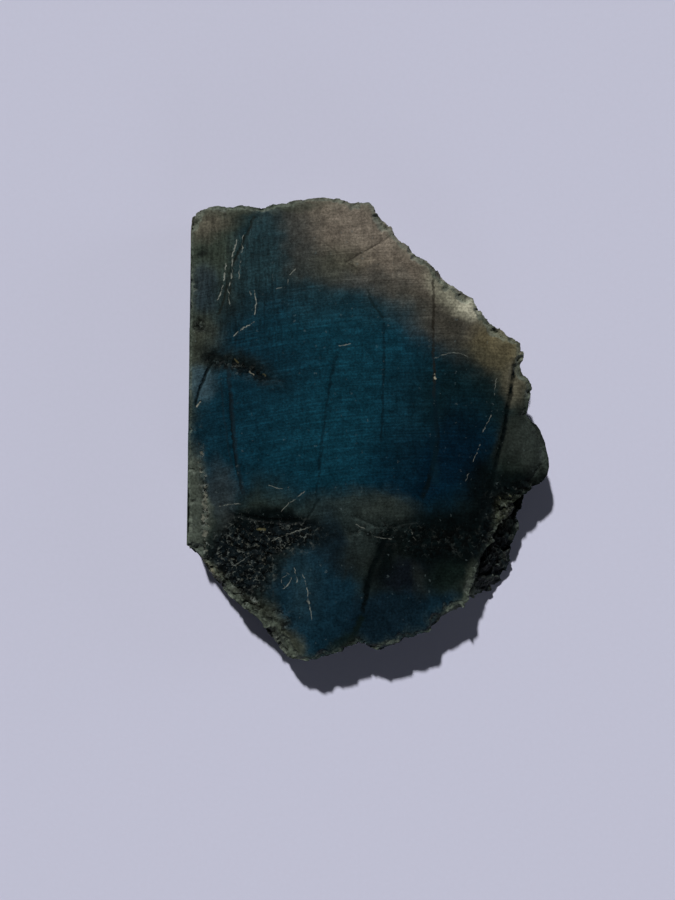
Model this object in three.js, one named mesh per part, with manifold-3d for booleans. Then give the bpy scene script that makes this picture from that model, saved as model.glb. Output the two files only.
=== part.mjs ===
// A slab of rough labradorite, lying flat: one natural stone in one piece.
// Both broad faces and the straight left edge are sawn. Every other edge is broken along the
// cleavage of the feldspar, into small tilted facets, with a low ledge at the lower right.
// Units are millimetres. X runs across the slab, Y along it, Z up; Z = 0 is the sawn underside.

import * as THREE from 'three';
import { mergeVertices } from 'three/addons/utils/BufferGeometryUtils.js';
import Module from 'manifold-3d';

const wasm = await Module();
wasm.setup();

// Driving dimensions
const SLAB_LENGTH = 111.5; // between the two furthest broken tips, along Y
const SLAB_THICKNESS = 8.8; // between the sawn faces
const LEDGE_THICKNESS = 5.4; // of the ledge, where it leaves the wall of the slab

// Facets of the broken wall. Each lean is in degrees from upright, in under the slab.
const UPPER_LEAN = { least: 0.5, most: 9 };
const LOWER_LEAN = { least: 3, most: 24 };
const FACET_BREAK = { least: 0.3, most: 0.65 }; // height where they meet, per thickness
const LEAN_SEED = 41;
const TOP_INSET = { least: 0.1, most: 0.5 }; // of each facet from the drawn outline, at the top
const FACET_REACH = 4; // how far the box that cuts a facet runs out past the wall
const FACET_RUN = SLAB_THICKNESS * 1.6; // how far it runs down from its line
const BREAK_REACH = 12; // how far the box that cuts a sloping break runs out and up
const CUT_RISE = 1.5; // how far each box runs on past its line, towards the stone
const WELD = 1e-4; // corners closer together than this are one
const UPPER_OVERLAP = 0.5; // of neighbouring cuts, so that no sliver stands between them
const LOWER_OVERLAP = 1.1;
const KNOB_STEPS = 4; // straight steps in each curve of the knob

// The broken outline, clockwise from the upper end of the sawn edge, as [x, y]
const SAWN_EDGE = { upper: [-42.3, 51.2], lower: [-43.4, -28.6] };
const UPPER_BREAK = [
  [-41.6, 52.2], [-40, 52.8], [-37.5, 53.3], [-29, 53.2], [-26.3, 52.9], [-23, 53.6],
  [-19.8, 54], [-16.3, 55], [-11.2, 55.4], [-7.4, 55], [-3.5, 53.9], [0.3, 54.2], [1.5, 53.3],
];
const UPPER_RIGHT_BREAK = [
  [3.8, 50.2], [5.5, 49.2], [7.3, 46.8], [9.7, 44.2], [10.9, 42], [16.5, 38.1], [18.9, 35.7],
  [20.5, 34.9], [24.8, 31.4], [26, 30.2], [28.3, 26.5], [29.7, 25.2], [32.1, 24.1],
  [34.6, 21.9], [36.8, 20.4], [37.8, 18.5], [37.8, 17.1], [37, 14.8], [38.2, 13],
  [39.2, 11.1], [39.6, 9], [38.8, 5.7], [38.2, 3.3],
];
const KNOB = { shoulder: [42.6, -1], side: [43.7, -6.7], bend: [44.1, -11.5], foot: [42.6, -13.3] };
const LOWER_RIGHT_BREAK = [
  [40.4, -14.2], [39.4, -15.4], [37, -16.4], [35.5, -18.5], [35, -20.5], [33.5, -22.5],
  [31.4, -23.2], [30.7, -26.8], [29.1, -28.7], [27.7, -31.6], [26.5, -35], [25.9, -37.1],
  [24.5, -41.2], [23.3, -43],
];
const LOWER_BREAK = [
  [21.2, -44.2], [19, -45.4], [17.1, -46.7], [16.3, -47.9], [15, -49.4], [11.6, -50.1],
  [9, -50.7], [7.4, -51.9], [4.9, -53.1], [3.1, -53.9], [1.9, -53.6], [-0.6, -52.2],
  [-2.4, -51.4], [-4, -52.5], [-7.1, -54], [-11.7, -55.6], [-15.6, -56.1], [-18.2, -56],
];
const LOWER_LEFT_BREAK = [
  [-20, -54.6], [-21.8, -52.5], [-24, -50.1], [-25.5, -47], [-28, -44.6], [-30.4, -42.6],
  [-33.4, -40.3], [-35.6, -38.3], [-37.4, -36.5], [-39, -34.1], [-40.5, -32.3],
  [-42.9, -29.8],
];

// The ledge outside the wall at the lower right; its last points lie inside the slab
const LEDGE = [
  [38.5, -16], [38.3, -19], [37.3, -21.3], [37.2, -23.7], [36.6, -27], [35.7, -29],
  [35.7, -32.7], [35.2, -35.2], [34, -37.2], [32.4, -39.4], [29.4, -40.6], [26, -41.5],
  [22, -39], [27, -20], [33, -13],
];

// Breaks that slope down from the upper face to the edge. `from` and `to` are the ends of the
// line where a break leaves the upper face, with the outer side on its left hand going from one
// to the other, and `slope` is its fall in degrees.
const RIM_BREAKS = [
  { from: [-37.2, -33.2], to: [-41.5, -28.4], slope: 50 },
  { from: [-33.2, -37.3], to: [-37.6, -33], slope: 38 },
  { from: [-17.5, -54.3], to: [-22.4, -46.8], slope: 35 },
  { from: [-41.7, 47.5], to: [-39, 52], slope: 28 },
  { from: [3.4, 49], to: [8.8, 42.8], slope: 34 },
  { from: [15.4, 37], to: [24, 30], slope: 42 },
  { from: [26.6, 26.4], to: [33.4, 20.8], slope: 31 },
  { from: [36.2, 20], to: [36.4, 12.5], slope: 36 },
  { from: [39.9, 1.2], to: [42.2, -5.6], slope: 33 },
  { from: [41.7, -3.6], to: [42.3, -11.4], slope: 40 },
  { from: [42.7, -7.3], to: [38.6, -13.6], slope: 30 },
  { from: [38.4, -14.6], to: [32, -18], slope: 17 },
  { from: [32.6, -17.4], to: [30.6, -22], slope: 20 },
  { from: [22, -41.5], to: [15, -46.2], slope: 33 },
  { from: [9.5, -49.6], to: [2.5, -52.9], slope: 40 },
];

// Breaks across the top of the ledge, stated the same way, with the height that each starts from
const LEDGE_BREAKS = [
  { from: [33.5, -20], to: [33.6, -28], height: LEDGE_THICKNESS, slope: 24 },
  { from: [31.8, -27], to: [30.2, -36.4], height: 4.9, slope: 31 },
  { from: [29.8, -33], to: [25.4, -41.2], height: 5, slope: 38 },
];

// A closed three.js geometry as a solid that can be joined and cut
function solid(geometry) {
  const shell = geometry.clone();
  shell.deleteAttribute('normal');
  shell.deleteAttribute('uv');
  const merged = mergeVertices(shell, WELD);
  return new wasm.Manifold(new wasm.Mesh({
    numProp: 3,
    vertProperties: new Float32Array(merged.attributes.position.array),
    triVerts: new Uint32Array(merged.index.array),
  }));
}

// The other way round: a solid as a flat-shaded three.js geometry
function shellOf(body) {
  const mesh = body.getMesh();
  const shell = new THREE.BufferGeometry();
  shell.setAttribute('position', new THREE.BufferAttribute(mesh.vertProperties, 3));
  shell.setIndex(new THREE.BufferAttribute(mesh.triVerts, 1));
  const faceted = shell.toNonIndexed();
  faceted.computeVertexNormals();
  return faceted;
}

function slabOutline() {
  const shape = new THREE.Shape();
  shape.moveTo(...SAWN_EDGE.upper);
  for (const point of [...UPPER_BREAK, ...UPPER_RIGHT_BREAK]) shape.lineTo(...point);
  shape.quadraticCurveTo(...KNOB.shoulder, ...KNOB.side);
  shape.quadraticCurveTo(...KNOB.bend, ...KNOB.foot);
  for (const point of [...LOWER_RIGHT_BREAK, ...LOWER_BREAK, ...LOWER_LEFT_BREAK]) {
    shape.lineTo(...point);
  }
  shape.lineTo(...SAWN_EDGE.lower);
  shape.closePath();
  return shape;
}

function plate(shape, thickness) {
  return new THREE.ExtrudeGeometry(shape, {
    depth: thickness,
    bevelEnabled: false,
    curveSegments: KNOB_STEPS,
  });
}

// Turns a box so that its local X follows the line from `from` to `to`, its local Y points to the
// outer side of that line, and it is tipped about the line by `tip` degrees
function alongLine(box, from, to, height, inset, tip) {
  const start = new THREE.Vector2(...from);
  const end = new THREE.Vector2(...to);
  const heading = end.clone().sub(start).normalize();
  const outward = new THREE.Vector2(-heading.y, heading.x);
  const middle = start.add(end).multiplyScalar(0.5).addScaledVector(outward, -inset);
  box.rotateX(THREE.MathUtils.degToRad(tip));
  box.rotateZ(Math.atan2(heading.y, heading.x));
  box.translate(middle.x, middle.y, height);
  return box;
}

// One facet of the broken wall: what lies outside a plane that leans in under the slab
function facetCut(from, to, height, inset, lean, overlap) {
  const length = Math.hypot(to[0] - from[0], to[1] - from[1]) + overlap;
  const box = new THREE.BoxGeometry(length, FACET_REACH, FACET_RUN + CUT_RISE);
  box.translate(0, FACET_REACH / 2, (CUT_RISE - FACET_RUN) / 2);
  return alongLine(box, from, to, height, inset, -lean);
}

// One sloping break at the rim: what lies above a plane that falls away outwards
function breakCut(from, to, height, slope) {
  const length = Math.hypot(to[0] - from[0], to[1] - from[1]);
  const box = new THREE.BoxGeometry(length, BREAK_REACH + CUT_RISE, BREAK_REACH);
  box.translate(0, (BREAK_REACH - CUT_RISE) / 2, BREAK_REACH / 2);
  return alongLine(box, from, to, height, 0, -slope);
}

// Whether the stretch of the outline that starts at a point is the sawn edge
function isSawn([x, y]) {
  return x === SAWN_EDGE.lower[0] && y === SAWN_EDGE.lower[1];
}

// The broken wall, facet by facet: a steep one hangs from each stretch of the outline and a
// flatter one lies under it. The sawn edge is left upright.
function wallCuts(shape) {
  const points = shape.extractPoints(KNOB_STEPS).shape.map((point) => [point.x, point.y]);
  const between = ({ least, most }) => (
    THREE.MathUtils.lerp(least, most, THREE.MathUtils.seededRandom())
  );
  THREE.MathUtils.seededRandom(LEAN_SEED);
  const cuts = [];
  for (let i = 0; i + 1 < points.length; i += 1) {
    const [from, to] = [points[i], points[i + 1]];
    if (isSawn(from)) continue;
    const upper = between(UPPER_LEAN);
    const lower = between(LOWER_LEAN);
    const inset = between(TOP_INSET);
    const breakHeight = SLAB_THICKNESS * between(FACET_BREAK);
    const drift = (SLAB_THICKNESS - breakHeight) * Math.tan(THREE.MathUtils.degToRad(upper));
    cuts.push(facetCut(from, to, SLAB_THICKNESS, inset, upper, UPPER_OVERLAP));
    cuts.push(facetCut(from, to, breakHeight, inset + drift, lower, LOWER_OVERLAP));
  }
  return cuts;
}

function ledgeSolid() {
  const shape = new THREE.Shape(LEDGE.map((point) => new THREE.Vector2(...point)));
  let ledge = solid(plate(shape, LEDGE_THICKNESS));
  for (const { from, to, height, slope } of LEDGE_BREAKS) {
    ledge = ledge.subtract(solid(breakCut(from, to, height, slope)));
  }
  return ledge;
}

function slabGeometry() {
  const outline = slabOutline();
  let slab = solid(plate(outline, SLAB_THICKNESS));
  for (const cut of wallCuts(outline)) slab = slab.subtract(solid(cut));
  slab = slab.add(ledgeSolid());
  for (const { from, to, slope } of RIM_BREAKS) {
    slab = slab.subtract(solid(breakCut(from, to, SLAB_THICKNESS, slope)));
  }
  return shellOf(slab);
}

// Scaled to the stated length, with the middle of its box over the origin
function settle(geometry) {
  geometry.computeBoundingBox();
  const size = geometry.boundingBox.getSize(new THREE.Vector3());
  const middle = geometry.boundingBox.getCenter(new THREE.Vector3());
  const scale = SLAB_LENGTH / size.y;
  geometry.translate(-middle.x, -middle.y, 0);
  geometry.scale(scale, scale, 1);
  return geometry;
}

const stone = new THREE.MeshStandardMaterial({ color: 0x1d3a44, roughness: 0.55, metalness: 0 });
const slab = new THREE.Mesh(settle(slabGeometry()), stone);
slab.name = 'labradorite_slab';

const part = new THREE.Group();
part.add(slab);

export default part;
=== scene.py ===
"""A sawn slab of rough labradorite, lying on a pale sheet.

The slab is one stone. Its fine surface is made from the plain solid of the frame: the solid is
remeshed, its broken edges are given hackly cleavage facets, its rims are chipped and its rubbly
patches are sunk a little. One material paints the stone from soft patches of colour, veins and
scratches that are placed on the sawn face and run on through the thickness.
"""

import math
from collections import namedtuple

import bmesh
import bpy
from mathutils import Color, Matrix, Vector, kdtree, noise


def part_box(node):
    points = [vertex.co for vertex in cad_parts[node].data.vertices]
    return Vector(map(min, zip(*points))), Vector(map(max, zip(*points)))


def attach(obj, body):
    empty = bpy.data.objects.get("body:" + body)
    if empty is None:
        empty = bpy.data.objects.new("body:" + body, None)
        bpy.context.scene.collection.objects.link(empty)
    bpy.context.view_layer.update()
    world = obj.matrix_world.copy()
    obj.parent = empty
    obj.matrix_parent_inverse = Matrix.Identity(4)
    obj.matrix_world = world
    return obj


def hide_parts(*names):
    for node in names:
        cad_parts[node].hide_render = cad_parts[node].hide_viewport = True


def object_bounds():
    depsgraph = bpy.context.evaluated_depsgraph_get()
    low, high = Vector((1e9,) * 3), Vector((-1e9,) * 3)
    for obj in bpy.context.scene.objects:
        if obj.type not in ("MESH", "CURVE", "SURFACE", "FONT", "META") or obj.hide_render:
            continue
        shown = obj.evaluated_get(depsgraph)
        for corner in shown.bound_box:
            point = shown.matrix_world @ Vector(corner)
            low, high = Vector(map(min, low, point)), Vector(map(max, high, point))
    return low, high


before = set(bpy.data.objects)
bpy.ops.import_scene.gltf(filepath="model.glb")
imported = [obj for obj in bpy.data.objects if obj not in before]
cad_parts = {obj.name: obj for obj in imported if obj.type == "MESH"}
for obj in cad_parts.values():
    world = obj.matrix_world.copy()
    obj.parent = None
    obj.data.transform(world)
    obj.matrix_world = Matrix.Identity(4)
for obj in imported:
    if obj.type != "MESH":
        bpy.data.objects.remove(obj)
CAD_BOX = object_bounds()

bl_info = {
    "name": "Rough labradorite slab",
    "version": (1, 0, 0),
    "blender": (4, 5, 0),
    "location": "3D View > Sidebar > Labradorite",
    "description": "Makes a sawn slab of rough labradorite and the sheet it lies on",
    "category": "Add Mesh",
}

NODE = "labradorite_slab"
STONE = "labradorite_stone"
FLOOR = "pale_sheet"
MM = 0.001

SLAB_LOW, SLAB_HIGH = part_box(NODE)
THICKNESS = SLAB_HIGH[2] - SLAB_LOW[2]
THICKNESS_MM = THICKNESS / MM

# ---------------------------------------------------------------------------------------------
# Where things are on the sawn face, in millimetres from the middle of the slab
# ---------------------------------------------------------------------------------------------

# A soft patch: its middle, half its width and height, its turn in degrees, how soft its rim is
# from 0 to 1, the stone it shows and how much of it
Patch = namedtuple("Patch", "x y wide high turn soft tint share")

PATCHES = tuple(Patch(*row) for row in (
    # The grounds outside the blue
    (9, 42, 36, 15, -38, 0.45, "tan", 1.0),
    (-1, 49, 13, 6, -8, 0.6, "tan_light", 0.95),
    (6, 43, 12, 5, -28, 0.7, "tan_light", 0.7),
    (-8, 40.5, 6, 4, 10, 0.7, "olive", 0.6),
    (2, 36.5, 10, 2.6, -8, 0.7, "violet_light", 0.6),
    (17, 25, 13, 9, -30, 0.6, "grey_olive", 0.9),
    (32, 18, 8, 6, -50, 0.5, "tan_olive", 0.9),
    (-17.5, 45, 6, 9, 16, 0.7, "violet_light", 0.7),
    (-37.5, 43, 7.5, 15, -8, 0.5, "grey_green", 1.0),
    (-39, 50, 6, 4, 20, 0.7, "tan", 0.6),
    (-40, 33.5, 4, 5, 0, 0.6, "blue_grey", 0.9),
    (-36.6, 31, 4, 5, 0, 0.9, "teal_deep", 0.4),
    (-39, 21, 5, 6.5, 0, 0.5, "olive", 0.9),
    # The blue flash: the labradorescence, a play of light inside the stone that shifts with the
    # angle of view, painted here as fixed colour
    (-25.5, 41, 7, 13, -6, 0.45, "teal_dim", 0.85),
    (-11, 9, 28, 26, 0, 0.22, "teal", 1.0),
    (13, -1, 19, 20, 0, 0.3, "teal", 1.0),
    (-35, -4, 8, 15, 0, 0.35, "teal", 0.9),
    (-7, 30, 17, 5, -4, 0.6, "teal_dim", 0.6),
    (-26, 53.4, 12, 1.4, 4, 0.5, "olive", 0.7),
    (-26, 26, 9, 9, 0, 0.7, "teal_deep", 0.5),
    (-14, 24, 11, 5, 0, 0.9, "teal_light", 0.5),
    (23, 7, 13, 13, 0, 0.6, "green_dark", 0.75),
    (15, -10, 17, 9, 10, 0.6, "navy", 0.85),
    (24, -4, 7, 10, 10, 0.6, "navy", 0.6),
    (-10, -2, 14, 13, 0, 0.9, "teal_light", 0.6),
    (-3, 17, 12, 10, 0, 0.9, "teal_light", 0.65),
    (-20, 11, 6, 5, 0, 0.9, "teal_deep", 0.4),
    (9, 1, 4.5, 11, 0, 0.9, "teal_deep", 0.5),
    # Below the flash
    (-2, -21, 13, 7, -6, 0.4, "slate", 1.0),
    (3, -20, 7, 3.4, 0, 0.7, "slate_light", 0.7),
    (-12, -42, 11.5, 14.5, 3, 0.3, "low_blue", 1.0),
    (-15.5, -38, 3.4, 7, 4, 0.9, "low_blue_grey", 0.7),
    (-4, -29, 7, 5.5, 0, 0.5, "moss_light", 0.85),
    (-3, -26, 4.5, 4, 30, 0.9, "slate", 0.5),
    (-9.6, -26.4, 3, 7, 4, 0.7, "low_blue_deep", 0.7),
    (8, -46, 15, 8.5, 12, 0.3, "low_blue_deep", 0.95),
    (16, -43, 4, 3, 20, 0.9, "low_blue", 0.5),
    (20, -26.5, 15, 8.5, 4, 0.4, "ink", 1.0),
    (27.6, -15.5, 4.6, 8, -6, 0.6, "ink", 0.95),
    (9, -35.4, 8, 3.4, 3, 0.5, "violet_dark", 0.9),
    (19.5, -35.4, 5.5, 3.6, 20, 0.6, "ink_green", 0.85),
    (12.6, -36.4, 2, 3.2, 0, 0.7, "moss_light", 0.8),
    (4, -30, 2.8, 7.5, -16, 0.7, "ink", 0.95),
    (-6, -51.5, 4.5, 2.4, 20, 0.5, "ink_green", 0.8),
    (-30, -31.5, 8.4, 11, 0, 0.35, "rubble", 1.0),
    (-20, -25.5, 10, 4.6, 6, 0.4, "rubble", 1.0),
    (-25, -21.8, 10, 2.2, -4, 0.5, "ink", 0.9),
    (-35.5, -15.5, 3.4, 7, 0, 0.6, "violet_light", 0.55),
    (-41.6, -19, 3.2, 13, 0, 0.4, "olive_light", 1.0),
    (-38.6, -33.6, 5, 1.8, -45, 0.5, "tan_olive", 0.6),
    (-29, -42, 9, 2.0, -36, 0.6, "olive", 0.7),
    (-20.5, -50, 3, 8.5, 27, 0.45, "olive", 0.95),
    (25.2, -38.6, 2.0, 6, -12, 0.5, "rim_green", 0.9),
    (20.5, -44.6, 5.5, 1.6, 32, 0.6, "rim_green", 0.9),
    (6, -50.8, 12, 0.8, 14, 0.8, "rim_green", 0.3),
    # The knob and the stone beyond the long crack
    (36, 11.5, 3.4, 5, 0, 0.5, "tan_grey", 0.85),
    (37.5, -3.5, 6.6, 9.5, -8, 0.3, "knob_green", 1.0),
    (39, -4, 3.8, 5, 0, 0.9, "knob_light", 0.7),
    (34, -11, 4, 6, 20, 0.8, "ink_green", 0.7),
    (37, -13.8, 8.5, 3.6, 16, 0.6, "ink", 0.95),
    # Painted shade: the ledge below the knob is dark rubble, darkened further as where the face
    # above shades it
    (34, -30, 6, 13, 6, 0.4, "rubble", 0.95),
    (33.8, -19, 3, 3.6, -20, 0.6, "gold", 0.8),
    # The left edge
    (-40.4, 12, 3.4, 4.6, -12, 0.35, "blue_light", 0.9),
    (-32, 16, 9.5, 2.4, -20, 0.9, "moss_dark", 0.8),
    (-36.4, 18.4, 2.4, 1.3, -10, 0.7, "ink", 0.7),
    (-28.8, 14, 4.4, 1.5, -24, 0.8, "ink", 0.75),
    (-40.4, 25, 2.2, 1.6, 0, 0.6, "ink", 0.75),
    (-40, 41.8, 2, 1.0, 10, 0.6, "ink", 0.6),
    # The thin pale rim
    (21, 32.6, 7.5, 2.6, -41, 0.6, "pale", 0.95),
    (24.5, 30.2, 2.8, 2, -41, 0.7, "pale_light", 0.95),
))

# A line in the stone: its two ends, how far its middle bows to the left of the way it runs, its
# width, the stone it shows, how much of it, and how deep it is open. Most scratches are chalky.
Line = namedtuple("Line", "x0 y0 x1 y1 bow wide tint share depth")

VEINS = tuple(Line(*row) for row in (
    (35.4, 16.8, 30.4, -10.4, 0.6, 1.4, "ink", 1.0, 0.45),
    (30.6, -9.6, 26.2, -23, 0.4, 1.2, "ink", 0.8, 0.2),
    (15.7, 38, 15.9, 6.8, 0, 0.9, "brown", 0.8, 0),
    (15.9, 7, 16.8, -2.6, 0, 1.4, "vein_blue", 1.0, 0.1),
    (16.8, -2.2, 12.8, -17, 0.6, 1.7, "vein_blue", 1.0, 0.15),
    (16.2, 12, 16.6, -14, -0.6, 2.6, "teal_deep", 0.55, 0),
    (0, 34, 3.8, 26.6, -0.6, 0.8, "ink_green", 0.6, 0),
    (3.8, 26.6, 3.2, -4, 0.3, 0.8, "vein_blue", 0.6, 0),
    (-7.4, 19, -12.4, -18.2, -0.7, 0.8, "vein_blue", 0.55, 0.05),
    (-33.4, 16.4, -29.8, -17, -0.5, 1.3, "brown_red", 0.55, 0.1),
    (-33.2, 10, -30.2, -16, -0.5, 0.8, "ink", 0.7, 0.1),
    (-35.2, 12, -32.4, -10, -0.4, 0.7, "brown_red", 0.35, 0),
    (-41.4, 5.4, -37.2, 16.4, 0.4, 0.7, "ink", 0.85, 0.35),
    (-27.2, 51.6, -33, 39, 0.5, 0.8, "moss_dark", 0.9, 0.15),
    (-33, 39, -36, 27, 0.3, 0.8, "moss_dark", 0.85, 0.1),
    (-32, 41, -33.8, 30, 0.2, 0.5, "moss_dark", 0.7, 0.1),
    (-5.6, 40, 8, 47.8, 0, 0.6, "brown", 0.6, 0.1),
    (-12, 46, -2, 38, 0, 0.5, "brown", 0.35, 0),
    (0, 35.4, 15.4, 35.8, 0.3, 0.45, "brown", 0.4, 0),
    (6, -23, -1.2, -44.5, -1.2, 1.8, "ink", 1.0, 0.3),
    (-1.2, -44.5, -5.6, -52.4, 0.4, 2.0, "ink_green", 0.85, 0.1),
    (-33.6, -19.6, -14.6, -21.8, -1.2, 0.9, "ink", 0.8, 0.3),
    (-14.6, -21.8, -11.6, -16.6, 0, 0.6, "ink", 0.6, 0.15),
    (5.8, -23.6, 12, -22, 0.3, 0.7, "ink", 0.7, 0.2),
    (-3.6, -20.6, 3.4, -23.6, 0, 0.8, "ink", 0.55, 0.2),
    (-27, 12.4, -20, 11.8, 0.2, 0.9, "ink", 0.5, 0.1),
    (31, -4, 33.8, -2.2, 0, 0.35, "ink", 0.4, 0),
))

SCRATCHES = tuple(Line(*way, "chalk", share, depth) for *way, share, depth in (
    (-15.6, -34.6, -14, -43.6, 0.4, 0.25, 0.75, 0.08),
    (-17.6, -33, -17, -37, 0, 0.26, 0.6, 0.05),
    (-14.4, -41, -13.4, -46.4, 0.1, 0.22, 0.6, 0.05),
    (-19.4, -34.2, -20.6, -38.2, 1.4, 0.3, 0.6, 0.05),
    (-19, -34.6, -19.8, -37.8, -1.2, 0.28, 0.5, 0.05),
    (-32.4, 22.2, -27, 25.8, 0.2, 0.34, 0.8, 0.08),
    (-23.8, -13.4, -18.8, -13.8, -0.5, 0.22, 0.5, 0.05),
    (-21, -19.8, -14.8, -14.8, 0.3, 0.24, 0.5, 0.05),
    (-36, -18.6, -30.4, -17.8, 0.3, 0.3, 0.5, 0.05),
    (-23, -26.8, -13.8, -23.4, 0.2, 0.26, 0.6, 0.05),
    (-32.6, -33.8, -28.4, -30.2, 0.2, 0.24, 0.5, 0.05),
    (-31.2, 45.4, -32.4, 41.4, 0, 0.36, 0.8, 0.1),
    (-32.4, 41.2, -33.2, 34.4, 0.2, 0.4, 0.85, 0.1),
    (-34, 40, -34.6, 35.4, 0, 0.34, 0.8, 0.1),
    (-34.6, 34.8, -36.2, 31, 0.1, 0.34, 0.7, 0.1),
    (-33.6, 34, -33, 29.6, 0, 0.26, 0.6, 0.1),
    (-29.6, 46.6, -30.2, 42.4, 0, 0.3, 0.7, 0.1),
    (-30.4, 40.4, -31, 36, 0, 0.26, 0.6, 0.1),
    (-28.2, 33.4, -28, 30.6, 0, 0.3, 0.6, 0.05),
    (-27.2, 33.6, -26.9, 27.4, 0.2, 0.34, 0.75, 0.1),
    (-17.4, 38.6, -19, 37, 0.2, 0.3, 0.7, 0.05),
    (-19.2, 36, -19, 34.4, 0, 0.24, 0.5, 0.05),
    (-23, 37.2, -22.6, 35.6, 0, 0.24, 0.5, 0.05),
    (-22, 33.8, -19.6, 34, 0.2, 0.24, 0.5, 0.05),
    (31, 12.4, 30.2, 8, 0, 0.2, 0.4, 0.08),
    (29.8, 3.4, 27.6, -0.8, 0, 0.2, 0.4, 0.05),
    (27, -3.6, 25.4, -8, 0, 0.2, 0.45, 0.05),
    (24.4, -10.4, 23.2, -12.4, 0, 0.22, 0.35, 0.05),
    (15.8, 17, 24, 17.4, 0.9, 0.23, 0.4, 0),
    (33, -21.4, 30.8, -28.6, 0.3, 0.3, 0.45, 0),
    (30.8, -28.6, 27, -32.6, 0.2, 0.3, 0.5, 0),
    (-6.8, 20.2, -3.8, 20.4, 0, 0.27, 0.5, 0.05),
    (1.6, -25.8, 6, -26.2, -0.1, 0.24, 0.4, 0.1),
    (10.4, -24.8, 11.6, -26.8, 0, 0.26, 0.4, 0.05),
    (-3, -22.8, -0.8, -23.8, 0, 0.26, 0.4, 0.05),
)) + tuple(Line(*row) for row in (
    (-41, 5.4, -39.8, 6.8, 0.1, 0.5, "pale_light", 0.6, 0.2),
    (15.8, 13.2, 16.1, 12, 0, 0.6, "pale_light", 0.9, 0.1),
    (31.6, -15.8, 32.6, -17.4, 0, 0.5, "gold_light", 0.7, 0.1),
    (34, -15.6, 35.2, -16.4, 0, 0.5, "gold_light", 0.7, 0.1),
    (32, -19.2, 33, -21, 0.1, 0.6, "gold_light", 0.8, 0.1),
    (-26.6, -23.8, -24.4, -24.2, 0, 0.7, "gold_light", 0.8, 0.1),
    (-32, 17, -31, 15.8, 0, 0.5, "gold_light", 0.7, 0.1),
    (-28.4, 13.8, -27.2, 13, 0, 0.4, "pale_light", 0.7, 0.1),
    (-25.4, 13.2, -24.4, 12.8, 0, 0.4, "gold_light", 0.6, 0.1),
))

# Where the stone is crumbled into chips: the patch, how deep it is sunk and how chalky it is
Crumble = namedtuple("Crumble", "x y wide high turn soft depth chalk")

CRUMBLES = tuple(Crumble(*row) for row in (
    (-29.6, -31.5, 7.8, 10, 0, 0.4, 0.28, 0.29),
    (-20.5, -26, 9, 4, 6, 0.5, 0.22, 0.34),
    (-39.2, -20, 0.9, 15, 3, 0.7, 0.12, 0.9),
    (-38.6, -33.6, 5, 1.7, -45, 0.6, 0.35, 0.55),
    (-28.3, -41.6, 2.6, 1.2, -30, 0.7, 0.25, 0.55),
    (-29, -41, 8, 2, -38, 0.7, 0.2, 0.1),
    (34, -19, 3.4, 4, 10, 0.6, 0.35, 0.14),
    (5, -24.6, 9, 1.6, 2, 0.9, 0.12, 0.12),
    (20, -27, 12, 3.4, 4, 0.9, 0.05, 0.05),
    (33, -30, 5, 13, 8, 0.6, 0.3, 0.12),
    (-31.5, 15, 8, 1.8, -20, 0.9, 0.1, 0.14),
    (-40.4, 25, 2, 1.6, 0, 0.7, 0.15, 0.12),
    (38, -14, 7, 1.6, 14, 0.7, 0.3, 0.1),
    (-21, -46, 2.4, 5, 28, 0.8, 0.1, 0.1),
))

# Where the edge is worn smooth and round, where the saw marks are plainest, and where the
# upright fibres are
WORN = Patch(40, -4, 7.5, 12, 0, 0.35, None, 1.0)
SAW_PATCH = Patch(-4, 12, 36, 32, 0, 0.6, None, 1.0)
FIBRE_PATCH = Patch(-32, 36, 13, 20, 0, 0.7, None, 1.0)

# Stone colours as they look in daylight, 0 to 255, before the light of the stage is allowed for
TINTS = {
    "ground": (26, 34, 31),
    "tan": (81, 75, 65),
    "tan_light": (97, 90, 81),
    "tan_olive": (91, 84, 63),
    "tan_grey": (70, 68, 57),
    "grey_olive": (50, 49, 44),
    "grey_green": (41, 49, 42),
    "olive": (51, 55, 47),
    "olive_light": (56, 62, 56),
    "moss_dark": (18, 22, 19),
    "blue_grey": (34, 43, 47),
    "blue_light": (44, 62, 70),
    "teal": (6, 35, 47),
    "teal_light": (9, 46, 58),
    "teal_dim": (22, 43, 49),
    "teal_deep": (6, 27, 36),
    "green_dark": (5, 19, 21),
    "navy": (1, 17, 30),
    "slate": (27, 36, 36),
    "slate_light": (36, 42, 39),
    "violet_light": (45, 49, 49),
    "violet_dark": (6, 10, 17),
    "low_blue": (11, 33, 44),
    "low_blue_deep": (7, 22, 31),
    "low_blue_grey": (26, 45, 53),
    "rim_green": (55, 61, 54),
    "moss_light": (21, 26, 25),
    "ink": (2, 6, 7),
    "ink_green": (8, 17, 15),
    "rubble": (7, 13, 16),
    "vein_blue": (3, 12, 17),
    "brown": (23, 20, 15),
    "brown_red": (17, 23, 27),
    "knob_green": (25, 30, 27),
    "knob_light": (42, 48, 45),
    "gold": (24, 24, 14),
    "gold_light": (84, 79, 50),
    "pale": (115, 114, 100),
    "pale_light": (139, 137, 122),
    "chalk": (122, 126, 119),
    "chalk_dim": (98, 104, 100),
    "crust": (88, 89, 80),
    # painted highlight: glints of light on tiny cleavage faces
    "painted_glints": (96, 110, 112),
    "broken_grey": (54, 60, 56),
    "broken_light": (98, 104, 96),
    # painted light: the glow of the thin rim, where light comes through the stone
    "painted_rim_glow": (84, 94, 82),
}
STAGE_LIGHT = 0.82  # how bright a white surface is on the stage, which the colours are divided by


# ---------------------------------------------------------------------------------------------
# What a user may change
# ---------------------------------------------------------------------------------------------

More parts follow.
